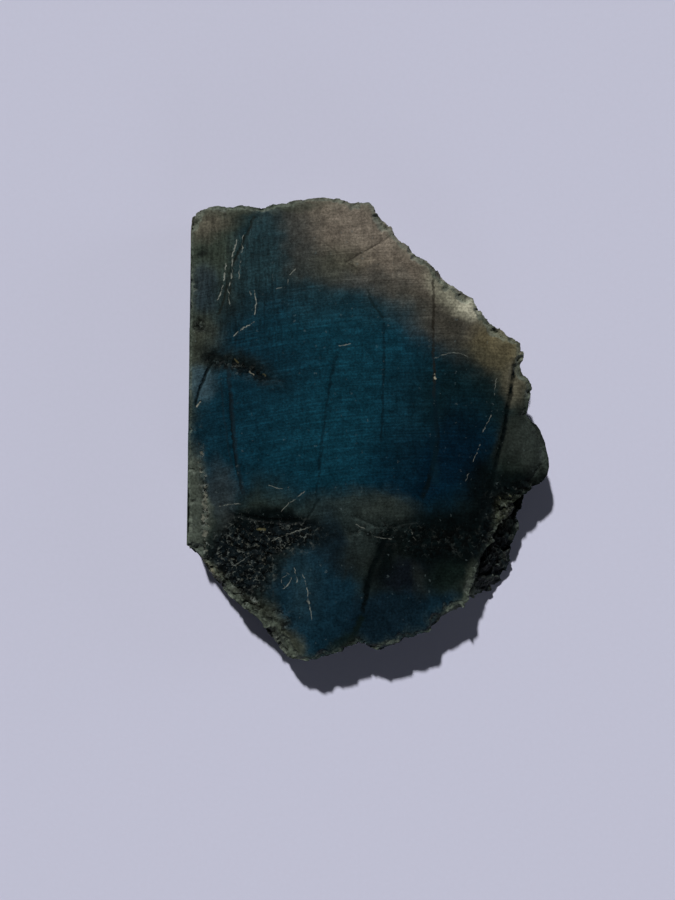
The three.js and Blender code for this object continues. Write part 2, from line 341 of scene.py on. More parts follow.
class StoneSettings(bpy.types.PropertyGroup):
    mesh_step: bpy.props.FloatProperty(
        name="Mesh step", description="Spacing of the fine surface's vertices",
        default=0.34 * MM, min=0.2 * MM, max=1.5 * MM, precision=5, unit="LENGTH")
    most_faces: bpy.props.IntProperty(
        name="Most triangles", description="The fine surface is thinned to this many triangles",
        default=88000, min=5000, max=195000)
    facet_size: bpy.props.FloatProperty(
        name="Facet size", description="Width of the larger facets on the broken edges",
        default=3.4 * MM, min=1 * MM, max=10 * MM, precision=5, unit="LENGTH")
    facet_relief: bpy.props.FloatProperty(
        name="Facet relief", description="How far the larger facets stand in and out",
        default=0.7 * MM, min=0, max=2 * MM, precision=5, unit="LENGTH")
    grain_relief: bpy.props.FloatProperty(
        name="Grain relief", description="How far the small facets stand in and out",
        default=0.17 * MM, min=0, max=1 * MM, precision=5, unit="LENGTH")
    rim_chip: bpy.props.FloatProperty(
        name="Rim chips", description="Depth of the deepest chips along the rims",
        default=0.75 * MM, min=0, max=3 * MM, precision=5, unit="LENGTH")
    saw_pitch: bpy.props.FloatProperty(
        name="Saw mark pitch", description="Distance between the arcs that the saw left",
        default=0.42 * MM, min=0.1 * MM, max=5 * MM, precision=5, unit="LENGTH")
    saw_radius: bpy.props.FloatProperty(
        name="Saw radius", description="Radius of the saw marks at the middle of the slab",
        default=0.23, min=0.05, max=1.0, unit="LENGTH")
    sawn_roughness: bpy.props.FloatProperty(
        name="Sawn roughness", description="Roughness of the unpolished sawn faces",
        default=0.54, min=0, max=1, subtype="FACTOR")
    broken_roughness: bpy.props.FloatProperty(
        name="Broken roughness", description="Roughness of the glassy broken edges",
        default=0.42, min=0, max=1, subtype="FACTOR")


class StageSettings(bpy.types.PropertyGroup):
    sheet_size: bpy.props.FloatProperty(
        name="Sheet size", description="Side of the pale sheet under the slab",
        default=16.0, min=0.5, unit="LENGTH")
    sheet_colour: bpy.props.FloatVectorProperty(
        name="Sheet colour", description="Colour of the pale sheet",
        default=(0.60, 0.61, 0.76), size=3, min=0, max=1, subtype="COLOR")
    key_strength: bpy.props.FloatProperty(
        name="Key light", description="Strength of the main light", default=4.3, min=0)
    key_softness: bpy.props.FloatProperty(
        name="Key softness", description="Angle that the main light fills in the sky",
        default=math.radians(3), min=0, max=math.pi, subtype="ANGLE")
    key_height: bpy.props.FloatProperty(
        name="Key height", description="Angle of the main light above the sheet",
        default=math.radians(36), min=0, max=math.pi / 2, subtype="ANGLE")
    key_turn: bpy.props.FloatProperty(
        name="Key turn", description="Turn of the main light, from +Y towards -X",
        default=math.radians(20), subtype="ANGLE")
    fill_strength: bpy.props.FloatProperty(
        name="Fill light", description="Strength of the low soft lights from the other sides",
        default=0.8, min=0)
    sky_strength: bpy.props.FloatProperty(
        name="Sky light", description="Strength of the even light from all round",
        default=0.022, min=0)
    camera_height: bpy.props.FloatProperty(
        name="Camera height", description="Height of the camera above the sheet",
        default=0.171, min=0.05, unit="LENGTH")


# ---------------------------------------------------------------------------------------------
# The fine surface
# ---------------------------------------------------------------------------------------------

HALF = Vector((0.5, 0.5, 0.5))
FACET_SEED = Vector((11.3, 4.7, 8.1))
GRAIN_SEED = Vector((2.9, 17.3, 5.3))
CHIP_SEED = Vector((31.7, 9.1, 3.3))
SWELL_SEED = Vector((7.7, 23.9, 1.9))
GRAIN_SIZE = 1.15  # mm, of the small facets
SWELL_SIZE = 7.0  # mm, of the broad swells in the broken edges
SWELL_RELIEF = 0.3  # mm
CHIP_SIZE = 4.2  # mm, between chips along a rim
CHIP_RUN = 1.9  # width of a chip across the face, per depth
FLAT_SLOPE = 0.985  # the least upright part of its normal for a surface to count as sawn
FLAT_DEPTH = 0.05  # mm, from a sawn plane
RIM_CALM = 3.0  # mm, below the upper face, where the facets reach their full relief
WORN_OUT = 0.4  # mm, that worn stone stands out past the plain solid
ROUND_REACH = 3.5  # mm, how far in from a worn rim the face is rounded
ROUND_DROP = 1.1  # mm, of a rounded face at its rim
GLOW_RIM_WIDTH = 1.3  # mm, of the thin rim where light coming through the stone is painted as a paler colour
RIM_PROUD = 0.5  # how much lighter a chipped rim is than a broken face
RIM_GLOW_SHARE = 0.45  # the most of the painted glow of the thin rim that shows
SAWN_EDGE = (-28.05, 51.75)  # mm, where the sawn edge starts and ends along Y
SAWN_EDGE_LEAN = 1.1 / 79.8  # how far it runs in along X for its length
SAWN_EDGE_NEAR = 0.3  # mm
CRUSHED = 0.16  # mm, the least that a rim is worn down
UNEVEN = 0.022  # mm, how far the saw left the sawn faces from flat
UNEVEN_SIZE = 1.5  # mm, between one low place and the next
MERGED = 0.002  # mm, below which the plain solid's vertices are one
SAWN_CHIPS = 0.35  # how deep a sawn rim is chipped, as a share of a broken one
CHIP_HOLLOW = 1.4  # how hollow a chip's slope is, where 1 is straight
LINE_OPENING = 1.8  # how much wider a line is cut than it is drawn
SHARP_ANGLE = math.radians(24)
UV_MAP = "OFBake"
MAP_SIZE = 177.5  # mm, of the side of the map
EDGE_SCALE = 1.55  # how much larger the edge's rows are than the sawn faces


def smooth(low, high, value):
    """0 below low and 1 above high, with an even curve between."""
    share = min(max((value - low) / (high - low), 0.0), 1.0)
    return share * share * (3.0 - 2.0 * share)


def rulers(x, y, wide, high, turn):
    """Two vectors that measure places about a turned middle: their dot products with a place
    (x, y, 1) say how far it is along and across, as shares of wide and high."""
    along = Vector((math.cos(turn), math.sin(turn), 0.0))
    across = Vector((-along.y, along.x, 0.0))
    for ruler in (along, across):
        ruler.z = -(ruler.x * x + ruler.y * y)
    return along / wide, across / high


def patch_rulers(patch):
    return rulers(patch.x, patch.y, patch.wide, patch.high, math.radians(patch.turn))


def line_rulers(line):
    run = Vector((line.x1 - line.x0, line.y1 - line.y0))
    return rulers((line.x0 + line.x1) / 2, (line.y0 + line.y1) / 2,
                  run.length / 2, line.wide / 2, math.atan2(run.y, run.x))


def patch_cover(patch, x, y):
    """How much a soft patch or crumble covers a point of the sawn face, from 0 to 1."""
    along, across = patch_rulers(patch)
    place = Vector((x, y, 1.0))
    far = math.hypot(place.dot(along), place.dot(across))
    return 1.0 - smooth(1.0 - patch.soft, 1.0 + patch.soft, far)


def line_cover(line, x, y):
    """How much an open line covers a point of the sawn face, from 0 to 1."""
    run, side = line_rulers(line)
    place = Vector((x, y, 1.0))
    along = place.dot(run)
    if abs(along) >= 1.0:
        return 0.0
    across = place.dot(side) - 2 * line.bow / line.wide * (1.0 - along * along)
    return (1.0 - smooth(0.35, 1.0, abs(across) / LINE_OPENING)) * (1.0 - along ** 6)


def facet(place, size, seed):
    """A hackly break at a point: flat cells, each tilted its own way and set at its own height.
    It stays within about 1 either way."""
    spot = place / size + seed
    corner = noise.voronoi(spot)[1][0]
    tilt = noise.cell_vector(corner * 3.7)
    return max(min(2.2 * tilt.dot(spot - corner) + 0.35 * noise.cell(corner * 5.1), 1.0), -1.0)


def merged_copy(node, name):
    """The frame's solid as a new mesh with its loose triangles joined."""
    mesh = bpy.data.meshes.new(name)
    work = bmesh.new()
    work.from_mesh(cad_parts[node].data)
    bmesh.ops.remove_doubles(work, verts=work.verts, dist=MERGED * MM)
    bmesh.ops.recalc_face_normals(work, faces=work.faces)
    work.to_mesh(mesh)
    work.free()
    return mesh


def apply_modifier(piece, kind, **settings):
    """Puts one modifier on the piece and keeps its result as the piece's mesh."""
    modifier = piece.modifiers.new(kind.title(), kind)
    for name, value in settings.items():
        setattr(modifier, name, value)
    graph = bpy.context.evaluated_depsgraph_get()
    result = bpy.data.meshes.new_from_object(piece.evaluated_get(graph))
    piece.modifiers.clear()
    old = piece.data
    piece.data = result
    bpy.data.meshes.remove(old)


def on_sawn_plane(place, normal):
    """Whether a point, in mm, is on one of the two sawn faces."""
    near = min(place.z, THICKNESS_MM - place.z) < FLAT_DEPTH
    return near and abs(normal.z) > FLAT_SLOPE


def on_sawn_edge(place):
    """Whether a point, in mm, is on the straight sawn edge."""
    start, end = SAWN_EDGE
    edge_x = SLAB_LOW[0] / MM + (place.y - start) * SAWN_EDGE_LEAN
    return start < place.y < end and abs(place.x - edge_x) < SAWN_EDGE_NEAR


def sunk(x, y):
    """How far the sawn face is sunk at a point, in mm, by its crumbled patches and open lines,
    and how much of that is crumbled stone, from 0 to 1."""
    place = Vector((x, y, 0.0))
    depth, crumbled = 0.0, 0.0
    for crumble in CRUMBLES:
        cover = patch_cover(crumble, x, y)
        if cover > 0.0:
            rough = 0.5 + 0.5 * facet(place, GRAIN_SIZE * 1.3, GRAIN_SEED)
            depth += cover * crumble.depth * (0.25 + rough)
            crumbled = max(crumbled, cover)
    for line in VEINS + SCRATCHES:
        if line.depth:
            depth += line.depth * line_cover(line, x, y)
    return depth, crumbled


def unevenness(place):
    """How far a sawn face is from flat at a point, in mm."""
    return UNEVEN * (0.5 + 0.5 * noise.noise(place / UNEVEN_SIZE + SWELL_SEED))


def chip_depth(place, settings, sawn_rim):
    """How deep the rim is chipped near a point, in mm. A sawn rim chips less than a broken one."""
    run = noise.noise(Vector((place.x, place.y, 0.0)) / CHIP_SIZE + CHIP_SEED)
    fine = noise.noise(Vector((place.x, place.y, 0.0)) / (CHIP_SIZE * 0.3) + CHIP_SEED)
    deep = smooth(-0.05, 0.45, run + 0.3 * fine)
    return CRUSHED * (1 + fine) + deep * settings.rim_chip / MM * (SAWN_CHIPS if sawn_rim else 1.0)


def break_lift(place, settings, worn):
    """How far a broken edge stands out at a point, in mm, and how proud that is, -1 to 1. Its
    facets mostly cut into the stone. Worn stone keeps only the swells."""
    large = facet(place, settings.facet_size / MM, FACET_SEED)
    small = facet(place, GRAIN_SIZE, GRAIN_SEED)
    swell = noise.noise(place / SWELL_SIZE + SWELL_SEED)
    deep = smooth(0.0, RIM_CALM, THICKNESS_MM - place.z)
    facets = settings.facet_relief * (large * (0.45 + 0.55 * deep) - 0.35 * deep)
    grain = settings.grain_relief * small * (0.5 + 0.5 * deep)
    lift = SWELL_RELIEF * swell + (facets + grain) / MM * (1.0 - 0.9 * worn) + WORN_OUT * worn
    return lift, (0.55 * large + 0.45 * small) * (1.0 - worn)


def rim_drop(place, rim_way, rim_is_sawn, worn, settings):
    """How far the sawn face falls away at a distance from its rim, in mm, and how much of that
    is chipped stone, from 0 to 1."""
    chip = chip_depth(place, settings, rim_is_sawn) * (1.0 - 0.8 * worn)
    fall = max(0.0, 1.0 - rim_way / (CHIP_RUN * chip + 0.2))
    rounded = ROUND_DROP * worn * max(0.0, 1.0 - rim_way / ROUND_REACH) ** 2
    return chip * fall ** CHIP_HOLLOW + rounded, smooth(0.0, 0.35, fall)


def roughen(piece, settings):
    """Moves the vertices of the remeshed solid: hackly facets on what is broken, chips along the
    rims, and the sunk places of the sawn faces. It stores on the mesh, for the material, what is
    broken, what stands proud and what is near a rim, where the material paints a glow."""
    mesh = piece.data
    places = [vertex.co / MM for vertex in mesh.vertices]
    normals = [vertex.normal.copy() for vertex in mesh.vertices]
    sawn = [on_sawn_plane(p, n) for p, n in zip(places, normals)]
    edge = [not s and on_sawn_edge(p) for s, p in zip(sawn, places)]
    rims = kdtree.KDTree(len(places))
    for index, place in enumerate(places):
        if not sawn[index]:
            rims.insert(place, index)
    rims.balance()

    marks = {"broken": [0.0] * len(places), "proud": [0.0] * len(places),
             "rim": [0.0] * len(places)}
    for index, place in enumerate(places):
        normal = normals[index]
        moved = place.copy()
        worn = patch_cover(WORN, place.x, place.y)
        rim_way, rim_is_sawn, broken, proud = 0.0, edge[index], 0.0, 0.0
        if sawn[index]:
            _, nearest, rim_way = rims.find(place)
            rim_is_sawn = edge[nearest]
        elif not edge[index]:
            lift, proud = break_lift(place, settings, worn)
            moved += Vector((normal.x, normal.y, normal.z * 0.5)) * lift
            broken = 1.0
        drop, chipped = 0.0, 0.0
        if rim_way < ROUND_REACH:
            drop, chipped = rim_drop(place, rim_way, rim_is_sawn, worn, settings)
        low, high = 0.4 * drop, THICKNESS_MM - drop
        if sawn[index]:
            low += unevenness(place)
            high -= unevenness(place)
        if place.z > THICKNESS_MM / 2:
            depth, crumble = sunk(place.x, place.y)
            high -= depth
            if sawn[index]:
                broken, proud = max(chipped, 0.3 * crumble), RIM_PROUD * chipped - depth
            moved.z = min(max(moved.z, 0.0), high)
        else:
            if sawn[index]:
                broken, proud = chipped, RIM_PROUD * chipped
            moved.z = min(max(moved.z, low), high)
        mesh.vertices[index].co = moved * MM
        to_plane = min(place.z, THICKNESS_MM - place.z)
        marks["broken"][index] = broken
        marks["proud"][index] = proud
        # The rim mask: where the material paints a paler glow for light coming through the thin
        # rim
        near_rim = max(0.0, 1.0 - (rim_way + 2 * to_plane) / GLOW_RIM_WIDTH)
        marks["rim"][index] = near_rim * (1.0 - worn)
    for name, values in marks.items():
        attribute = mesh.attributes.new(name, "FLOAT", "POINT")
        attribute.data.foreach_set("value", values)
    mesh.update()


Island = namedtuple("Island", "facing along up left bottom scale")


def island(facing, along, up, left, bottom, scale):
    return Island(Vector(facing), Vector(along), Vector(up), left, bottom, scale)


# How the surface is laid out flat: the way an island's faces look, the ways it runs on the map,
# where it starts there in mm, and its scale. The two sawn faces lie side by side, with the four
# sides of the edge in rows above them.
ISLANDS = (
    island((0, 0, 1.25), (1, 0, 0), (0, 1, 0), 44.4, 56.6, 1.0),
    island((0, 0, -1.25), (-1, 0, 0), (0, 1, 0), 132.8, 56.6, 1.0),
    island((1, 0, 0), (0, 1, 0), (0, 0, 1), 88.5, 114.5, EDGE_SCALE),
    island((-1, 0, 0), (0, -1, 0), (0, 0, 1), 88.5, 130.2, EDGE_SCALE),
    island((0, 1, 0), (-1, 0, 0), (0, 0, 1), 88.5, 145.9, EDGE_SCALE),
    island((0, -1, 0), (1, 0, 0), (0, 0, 1), 88.5, 161.6, EDGE_SCALE),
)


def lay_out(mesh):
    """Gives the mesh a UV map of its own, with each face on the island that it looks towards."""
    layer = mesh.uv_layers.new(name=UV_MAP)
    for polygon in mesh.polygons:
        on = max(ISLANDS, key=lambda row: polygon.normal.dot(row.facing))
        for loop in polygon.loop_indices:
            place = mesh.vertices[mesh.loops[loop].vertex_index].co * (on.scale / MM)
            layer.data[loop].uv = ((on.left + place.dot(on.along)) / MAP_SIZE,
                                   (on.bottom + place.dot(on.up)) / MAP_SIZE)


def make_stone_mesh(settings):
    """The fine surface of the slab, from the frame's solid."""
    piece = bpy.data.objects.new(STONE, merged_copy(NODE, STONE))
    bpy.context.scene.collection.objects.link(piece)
    step = settings.mesh_step * 1.0
    apply_modifier(piece, "REMESH", mode="VOXEL", voxel_size=step, adaptivity=0.0)
    roughen(piece, settings)
    triangles = 2 * len(piece.data.polygons)
    if triangles > settings.most_faces:
        apply_modifier(piece, "DECIMATE", ratio=settings.most_faces / triangles,
                       use_collapse_triangulate=True)
    mesh = piece.data
    mesh.name = STONE
    for polygon in mesh.polygons:
        polygon.use_smooth = True
    mesh.set_sharp_from_angle(angle=SHARP_ANGLE)
    lay_out(mesh)
    return piece


# ---------------------------------------------------------------------------------------------
# The material
# ---------------------------------------------------------------------------------------------

NODE_STEP = 190
NODES_A_ROW = 24


class Nodes:
    """Adds nodes to one tree. A value that is a socket is linked, and any other is set."""

    def __init__(self, tree):
        self.tree = tree
        tree.nodes.clear()

    def add(self, kind, inputs=(), **settings):
        node = self.tree.nodes.new(kind)
        count = len(self.tree.nodes)
        node.location = (NODE_STEP * (count % NODES_A_ROW), -NODE_STEP * (count // NODES_A_ROW))
        for name, value in settings.items():
            setattr(node, name, value)
        for name, value in dict(inputs).items():
            self.feed(node.inputs[name], value)
        return node

    def feed(self, socket, value):
        if isinstance(value, bpy.types.NodeSocket):
            self.tree.links.new(value, socket)
        else:
            socket.default_value = value

    def math(self, operation, *values, clamp=False):
        node = self.add("ShaderNodeMath", operation=operation, use_clamp=clamp)
        for socket, value in zip(node.inputs, values):
            self.feed(socket, value)
        return node.outputs[0]

    def vector(self, operation, *values, scale=None):
        node = self.add("ShaderNodeVectorMath", operation=operation)
        for socket, value in zip(node.inputs, values):
            self.feed(socket, value)
        if scale is not None:
            self.feed(node.inputs["Scale"], scale)
        return node.outputs["Value" if operation in ("LENGTH", "DOT_PRODUCT") else "Vector"]

    def ramp(self, value, low, high, start=0.0, end=1.0):
        """start at low and end at high, with an even curve between."""
        return self.add(
            "ShaderNodeMapRange", interpolation_type="SMOOTHSTEP",
            inputs={"Value": value, "From Min": low, "From Max": high,
                    "To Min": start, "To Max": end}).outputs["Result"]

    def colours(self, factor, under, over):
        """Two colours mixed as plain numbers, so no value has to change its kind."""
        node = self.add("ShaderNodeMix", data_type="VECTOR")
        self.feed(node.inputs[0], factor)
        self.feed(node.inputs[4], under)
        self.feed(node.inputs[5], over)
        return node.outputs[1]

    def noise(self, vector, scale, detail=2.0, roughness=0.5, colour=False):
        node = self.add("ShaderNodeTexNoise", inputs={
            "Vector": vector, "Scale": scale, "Detail": detail, "Roughness": roughness})
        return node.outputs["Color" if colour else "Fac"]

    def split(self, vector):
        return self.add("ShaderNodeSeparateXYZ", inputs={"Vector": vector}).outputs

    def join(self, x, y, z):
        return self.add("ShaderNodeCombineXYZ", inputs={"X": x, "Y": y, "Z": z}).outputs[0]

    def group(self, tree, inputs):
        node = self.tree.nodes.new("ShaderNodeGroup")
        node.node_tree = tree
        for name, value in inputs.items():
            self.feed(node.inputs[name], value)
        return node.outputs[0]


def tint(name):
    """A stone colour as the albedo that gives that look on the stage."""
    look = Color([part / 255 for part in TINTS[name]]).from_srgb_to_scene_linear()
    return tuple(part / STAGE_LIGHT for part in look)


def new_group(name, sockets, result, result_kind="NodeSocketFloat"):
    tree = bpy.data.node_groups.new(name, "ShaderNodeTree")
    for label, kind in sockets:
        tree.interface.new_socket(label, in_out="INPUT", socket_type=kind)
    tree.interface.new_socket(result, in_out="OUTPUT", socket_type=result_kind)
    nodes = Nodes(tree)
    start = nodes.add("NodeGroupInput").outputs
    end = nodes.add("NodeGroupOutput").inputs[0]
    return tree, nodes, start, end


def patch_group():
    """A soft patch: 1 inside, 0 outside."""
    tree, nodes, start, end = new_group("Soft patch", (
        ("Place", "NodeSocketVector"), ("Along", "NodeSocketVector"),
        ("Across", "NodeSocketVector"), ("Inside", "NodeSocketFloat"),
        ("Outside", "NodeSocketFloat")), "Cover")
    along = nodes.vector("DOT_PRODUCT", start["Place"], start["Along"])
    across = nodes.vector("DOT_PRODUCT", start["Place"], start["Across"])
    square = nodes.math("MULTIPLY", along, along)
    far = nodes.math("SQRT", nodes.math("MULTIPLY_ADD", across, across, square))
    nodes.feed(end, nodes.ramp(far, start["Inside"], start["Outside"], 1.0, 0.0))
    return tree


def line_group():
    """A bowed line of a given width: 1 along it, 0 away from it."""
    tree, nodes, start, end = new_group("Line in the stone", (
        ("Place", "NodeSocketVector"), ("Along", "NodeSocketVector"),
        ("Across", "NodeSocketVector"), ("Bow", "NodeSocketFloat")), "Cover")
    along = nodes.vector("DOT_PRODUCT", start["Place"], start["Along"])
    across = nodes.vector("DOT_PRODUCT", start["Place"], start["Across"])
    square = nodes.math("MULTIPLY", along, along)
    bowed = nodes.math("MULTIPLY_ADD", start["Bow"], nodes.math("SUBTRACT", square, 1.0), across)
    beside = nodes.ramp(nodes.math("ABSOLUTE", bowed), 0.35, 1.1, 1.0, 0.0)
    within = nodes.ramp(square, 0.75, 1.05, 1.0, 0.0)
    nodes.feed(end, nodes.math("MULTIPLY", beside, within))
    return tree


def patch_inputs(patch, place):
    along, across = patch_rulers(patch)
    return {"Place": place, "Along": along, "Across": across,
            "Inside": 1.0 - patch.soft, "Outside": 1.0 + patch.soft}


def line_inputs(line, place):
    along, across = line_rulers(line)
    return {"Place": place, "Along": along, "Across": across, "Bow": 2 * line.bow / line.wide}


SHAKEN = "Shaken place"


def shaken_group():
    tree, nodes, start, end = new_group(SHAKEN, (
        ("Place", "NodeSocketVector"), ("Scale", "NodeSocketFloat"),
        ("Reach", "NodeSocketFloat"), ("Detail", "NodeSocketFloat")),
        "Place", "NodeSocketVector")
    stir = nodes.noise(start["Place"], start["Scale"], start["Detail"], colour=True)
    stir = nodes.vector("SUBTRACT", stir, tuple(HALF))
    stir = nodes.vector("SCALE", stir, scale=start["Reach"])
    nodes.feed(end, nodes.vector("ADD", start["Place"], stir))
    return tree


def shaken(nodes, place, size, reach, detail=2.0):
    """The place, moved about by a noise of that size, by up to about half the reach."""
    tree = bpy.data.node_groups.get(SHAKEN) or shaken_group()
    return nodes.group(tree, {
        "Place": place, "Scale": 1.0 / size, "Reach": reach, "Detail": detail})


def measured(nodes, place):
    """A place with 1 as its last coordinate, as the rulers need it."""
    return nodes.vector("MULTIPLY_ADD", place, (1.0, 1.0, 0.0), (0.0, 0.0, 1.0))


SLANT = (0.32, 0.45)  # how far patterns shift across the slab for each mm of depth
BRIGHTNESS = (0.3, 0.6, 0.1)  # how much red, green and blue count in how light a colour looks
MOTTLE_SCALE = 0.4  # per mm, of the stone's broad mottling
GRAIN_SCALE = 1.8  # per mm, of its grain
FIBRE_SCALE = (1.6, 0.2, 0.2)  # per mm, of the fibres, which run along Y
SAW_LENGTH = 16.0  # mm, of one fine saw mark
BROAD_SAW = 2.6  # how much farther apart the broad saw marks are
BROAD_SAW_LENGTH = 24.0  # mm
BROAD_SAW_RADIUS = 0.9  # of the fine saw marks' radius
CRACK_SIZES = (2.6, 1.3)  # mm, between the thin cracks of crumbled stone
LINE_WANDER = (3.2, 1.1)  # mm, the size and the reach of the slow bends in veins and scratches
LINE_JITTER = (0.8, 0.55)  # mm, the same of their quick bends
GLINT_SIZE = 1.25  # mm, between painted glints: small light flecks that stand in for light glinting on tiny cleavage faces
GLINT_SHARE = 0.28  # how much of the painted glints' colour shows
CHIP_SPACING = 1.0  # mm, between bright chips


def stone_places(nodes):
    """The place on the stone in mm, and the place on the sawn face that a slanting line through
    the thickness reaches."""
    coordinates = nodes.add("ShaderNodeTexCoord").outputs["Object"]
    place = nodes.vector("SCALE", coordinates, scale=1.0 / MM)
    parts = nodes.split(place)
    below = nodes.math("SUBTRACT", THICKNESS_MM, parts["Z"])
    east = nodes.math("MULTIPLY_ADD", below, SLANT[0], parts["X"])
    north = nodes.math("MULTIPLY_ADD", below, SLANT[1], parts["Y"])
    return place, nodes.join(east, north, 1.0)


def patchwork(nodes, face_place, cover):
    """The ground colour with every soft patch laid over it in turn."""
    place = shaken(nodes, face_place, 12.0, 8.0, 3.0)
    place = measured(nodes, shaken(nodes, place, 2.4, 2.8, 3.0))
    colour = tint("ground")
    for patch in PATCHES:
        share = nodes.math("MULTIPLY", nodes.group(cover, patch_inputs(patch, place)),
                           patch.share)
        colour = nodes.colours(share, colour, tint(patch.tint))
    return colour


def drawn_lines(nodes, lines, place, line_tree, share, colour):
    """The colour with every line laid over it, one tint after another."""
    for name in dict.fromkeys(line.tint for line in lines):
        covered = 0.0
        for line in lines:
            if line.tint == name:
                cover = nodes.math("MULTIPLY", nodes.group(line_tree, line_inputs(line, place)),
                                   line.share)
                covered = nodes.math("MAXIMUM", covered, cover)
        colour = nodes.colours(nodes.math("MULTIPLY", covered, share), colour, tint(name))
    return colour


SAW_MIDDLE = (16.0, 20.0)  # mm, a point on the arc whose radius the settings give


def saw_marks(nodes, place, pitch, length, radius):
    """Uneven arcs left by the saw, about 0.5 where the face is even."""
    middle = (SAW_MIDDLE[0], SAW_MIDDLE[1] - radius, 0.0)
    parts = nodes.split(nodes.vector("SUBTRACT", place, middle))
    square = nodes.math("MULTIPLY", parts["X"], parts["X"])
    far = nodes.math("SQRT", nodes.math("MULTIPLY_ADD", parts["Y"], parts["Y"], square))
    streak = nodes.join(nodes.math("MULTIPLY", far, 1.0 / pitch),
                        nodes.math("MULTIPLY", parts["X"], 1.0 / length), 0.0)
    return nodes.noise(streak, 1.0, 2.0, 0.6)


def fibres(nodes, place):
    """Fine upright streaks: the edges of the crystal's twin sheets."""
    streak = nodes.vector("MULTIPLY", shaken(nodes, place, 3.0, 1.2), FIBRE_SCALE)
    return nodes.noise(streak, 1.0, 3.0, 0.6)


def crumbled(nodes, face_place, cover):
    """How crumbled the face is, and how chalky it is there."""
    place = measured(nodes, shaken(nodes, face_place, 3.4, 3.0, 3.0))
    crumble, chalk = 0.0, 0.0
    for row in CRUMBLES:
        here = nodes.group(cover, patch_inputs(row, place))
        crumble = nodes.math("MAXIMUM", crumble, here)
        chalk = nodes.math("MAXIMUM", chalk, nodes.math("MULTIPLY", here, row.chalk))
    return crumble, chalk


def random_cells(nodes, place, scale):
    """Cells of stone: how far each place is from its cell's middle, and the cell's own three
    random numbers."""
    cells = nodes.add("ShaderNodeTexVoronoi", inputs={"Vector": place, "Scale": scale})
    lot = nodes.add("ShaderNodeSeparateColor", inputs={"Color": cells.outputs["Color"]})
    return cells.outputs["Distance"], lot.outputs


def flecks(nodes, place, size, rare):
    """Small bright chips of uneven shape and size: the middles of a few random cells. rare is
    the share of cells that stay dark, from 0 to 1."""
    torn = shaken(nodes, place, size * 0.45, size * 0.9, 1.0)
    far, lot = random_cells(nodes, torn, 1.0 / size)
    picked = nodes.ramp(lot[0], rare, 1.0)
    reach = nodes.math("MULTIPLY_ADD", lot[1], 0.26, 0.08)
    near = nodes.ramp(far, 0.03, reach, 1.0, 0.0)
    return nodes.math("MULTIPLY", picked, near)


def crazing(nodes, place, size):
    """Thin crooked cracks between chips, broken off here and there."""
    bent = shaken(nodes, place, size * 0.6, size)
    edge = nodes.add("ShaderNodeTexVoronoi", feature="DISTANCE_TO_EDGE", inputs={
        "Vector": bent, "Scale": 1.0 / size}).outputs["Distance"]
    thin = nodes.ramp(edge, 0.01, 0.075, 1.0, 0.0)
    gaps = nodes.ramp(nodes.noise(place, 0.9 / size, 2.0), 0.52, 0.62)
    return nodes.math("MULTIPLY", thin, gaps)


def stone_light(nodes, place, face_place, sawn, cover, settings):
    """How light the stone's own colour is at each place, from its grain, its fibres and the saw
    marks, and the grain and saw marks themselves for the relief."""
    mottle = nodes.noise(place, MOTTLE_SCALE, 4.0, 0.6)
    grain = nodes.noise(place, GRAIN_SCALE, 3.0, 0.7)
    fibre = fibres(nodes, place)
    radius = settings.saw_radius / MM
    pitch = settings.saw_pitch / MM
    fine = saw_marks(nodes, place, pitch, SAW_LENGTH, radius)
    broad = saw_marks(nodes, place, pitch * BROAD_SAW, BROAD_SAW_LENGTH,
                      radius * BROAD_SAW_RADIUS)
    saw = nodes.math("MULTIPLY_ADD", fine, 0.6, nodes.math("MULTIPLY", broad, 0.4))
    most_sawn = nodes.group(cover, patch_inputs(SAW_PATCH, face_place))
    share = nodes.math("MULTIPLY", nodes.math("MULTIPLY_ADD", most_sawn, 0.75, 0.25), sawn)
    share = nodes.math("MULTIPLY", share, nodes.ramp(mottle, 0.35, 0.62, 0.4, 1.2))
    lines = nodes.math("MULTIPLY", nodes.ramp(saw, 0.4, 0.64, -0.16, 0.4), share)
    light = nodes.math("MULTIPLY", nodes.ramp(mottle, 0.3, 0.7, 0.74, 1.28),
                       nodes.ramp(grain, 0.3, 0.7, 0.68, 1.34))
    streaky = nodes.group(cover, patch_inputs(FIBRE_PATCH, face_place))
    streaks = nodes.math("MULTIPLY", nodes.ramp(fibre, 0.34, 0.66, -0.4, 0.4),
                         nodes.math("MULTIPLY_ADD", streaky, 0.6, 0.18))
    light = nodes.math("MULTIPLY", light, nodes.math("ADD", streaks, 1.0))
    light = nodes.math("MULTIPLY", light, nodes.math("ADD", lines, 1.0))
    return light, mottle, grain, nodes.math("MULTIPLY", saw, sawn)


def crumbled_colour(nodes, place, mottle, crumble, chalk, colour):
    """The colour with crumbled stone laid over it, dark and light chips with thin pale cracks
    between them, and how far each place is from the middle of its chip."""
    far, lot = random_cells(nodes, shaken(nodes, place, 0.8, 0.8), 1.1)
    chip_light = nodes.ramp(lot[1], 0.1, 1.0, 0.2, 1.5)
    colour = nodes.colours(crumble, colour, nodes.vector("SCALE", colour, scale=chip_light))
    cracks = nodes.math("MAXIMUM", *(crazing(nodes, place, size) for size in CRACK_SIZES))
    cracks = nodes.math("MULTIPLY", cracks, nodes.ramp(mottle, 0.4, 0.6, 0.35, 2.2))
    cracks = nodes.math("MULTIPLY", cracks, chalk, clamp=True)
    return nodes.colours(cracks, colour, tint("chalk_dim")), far


